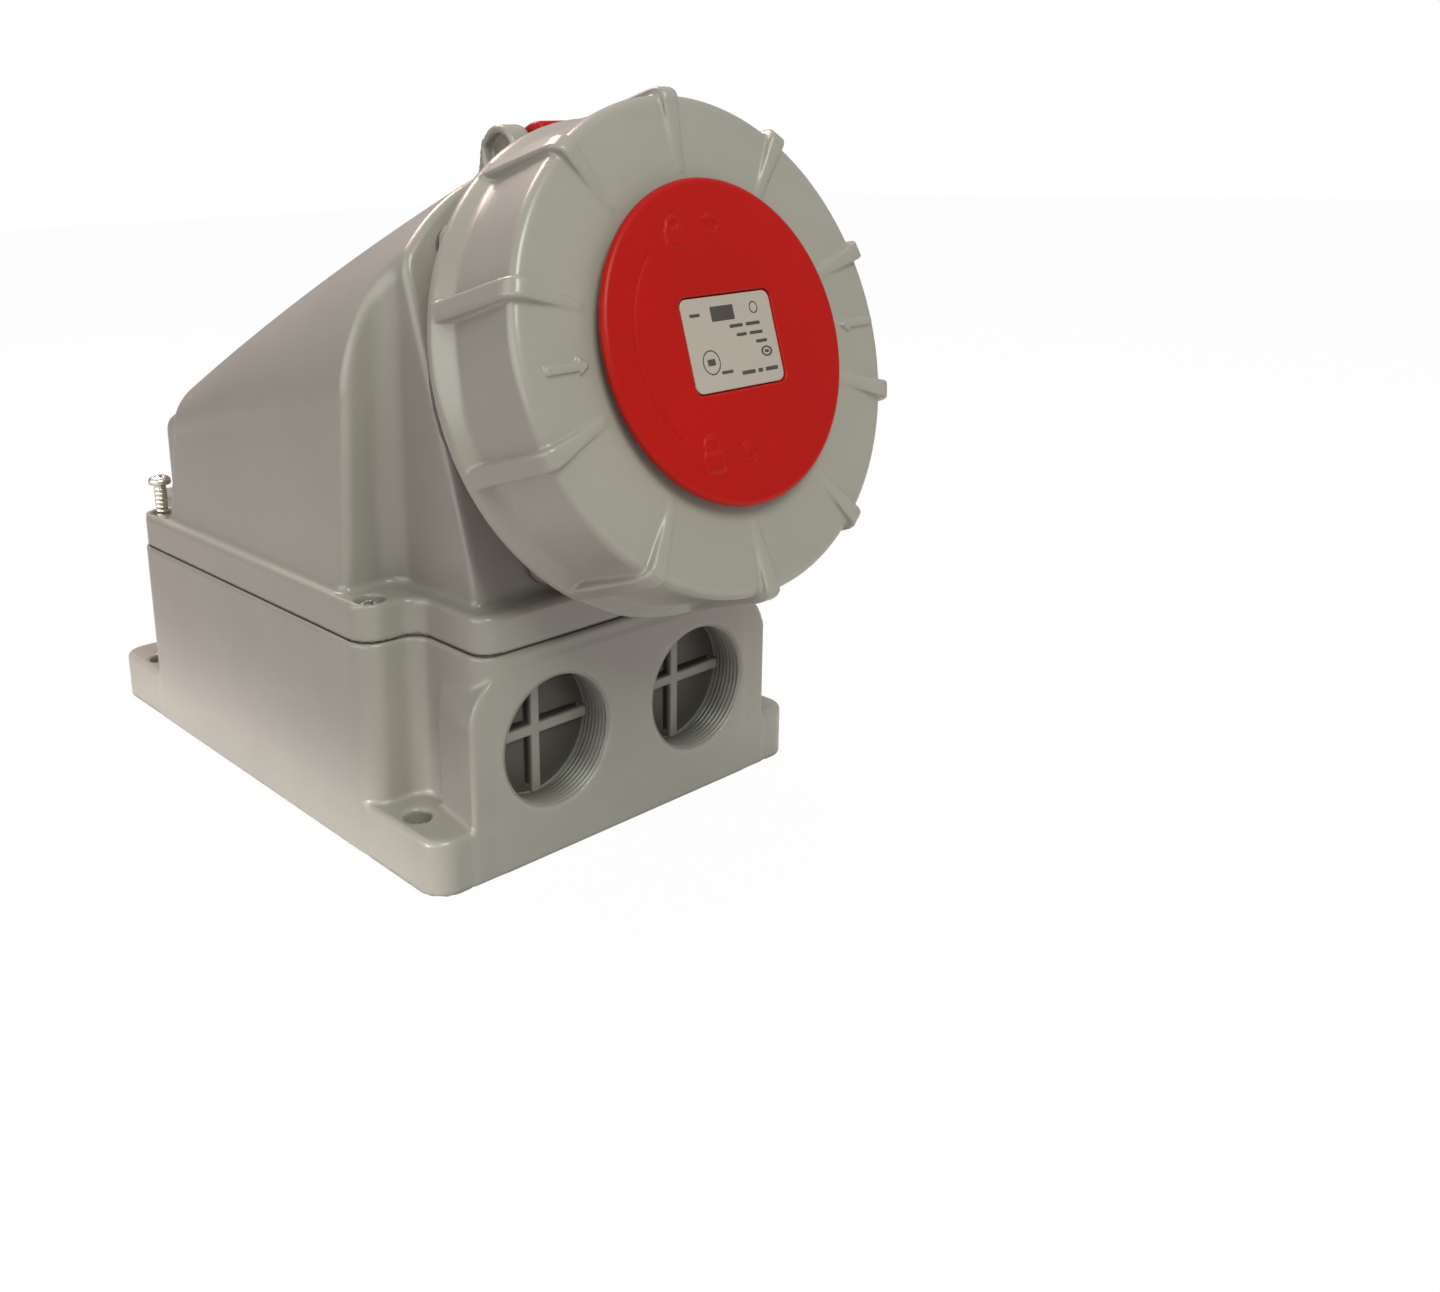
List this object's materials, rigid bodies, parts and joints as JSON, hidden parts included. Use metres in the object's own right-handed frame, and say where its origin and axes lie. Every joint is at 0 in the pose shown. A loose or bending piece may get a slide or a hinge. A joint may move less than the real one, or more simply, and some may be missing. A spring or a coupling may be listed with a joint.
{
  "type": "generator inlet box",
  "caption": "Wall-mounting power inlet box: two-part plastic housing with a slanted round-pin male inlet under a hinged, screw-locking weather lid.",
  "frame": {"origin": "centre of the back face that goes against the wall", "axes": "+Z away from the wall, -Y towards the cable-entry end (down when on a wall), +X across"},
  "size_m": [0.148, 0.2622, 0.2148],
  "materials": {
    "grey_plastic": "satin moulded, light warm grey",
    "red_plastic": "semi-gloss moulded, signal red",
    "dark_plastic": "matt moulded, black",
    "seal_rubber": "matt black elastomer",
    "zinc_steel": "bright zinc plated",
    "brass": "turned brass",
    "spring_steel": "drawn spring wire",
    "label": "printed film, blank"
  },
  "bodies": {
    "enclosure": {"base_box": "grey_plastic", "hood_gasket": "seal_rubber", "hood": "grey_plastic", "cover_screw_front_left": "zinc_steel", "cover_screw_front_right": "zinc_steel", "cover_screw_back_right": "zinc_steel", "flange_gasket": "seal_rubber", "inlet_flange": "grey_plastic", "inlet_shroud": "red_plastic", "contact_carrier": "dark_plastic", "flange_screw_1": "zinc_steel", "flange_screw_2": "zinc_steel", "flange_screw_3": "zinc_steel", "flange_screw_4": "zinc_steel", "pin_l1": "brass", "terminal_screw_l1": "zinc_steel", "pin_l2": "brass", "terminal_screw_l2": "zinc_steel", "pin_l3": "brass", "terminal_screw_l3": "zinc_steel", "pin_earth": "brass", "terminal_screw_earth": "zinc_steel", "pin_pilot": "brass", "terminal_screw_pilot": "zinc_steel", "hinge_pin": "zinc_steel", "hinge_spring": "spring_steel"},
    "back_left_screw": {"cover_screw_back_left": "zinc_steel"},
    "lid": {"lid_carrier": "red_plastic", "lid_gasket": "seal_rubber", "lid_disc": "red_plastic", "rating_plate": "label"},
    "ring": {"locking_ring": "grey_plastic"}
  },
  "joints": [
    {"name": "lid_hinge", "type": "hinge", "parent": "enclosure", "child": "lid", "pos_m": [0, -0.07469, 0.1997], "axis": [-1, 0, 0], "range_deg": [0, 105]},
    {"name": "ring_turn", "type": "hinge", "parent": "lid", "child": "ring", "pos_m": [0, -0.1418, 0.1512], "axis": [0, 0.9563, -0.2924], "range_deg": [0, 30]},
    {"name": "back_left_screw_travel", "type": "slide", "parent": "enclosure", "child": "back_left_screw", "axis": [0, 0, 1], "range_m": [-0.0142, 0]}
  ]
}
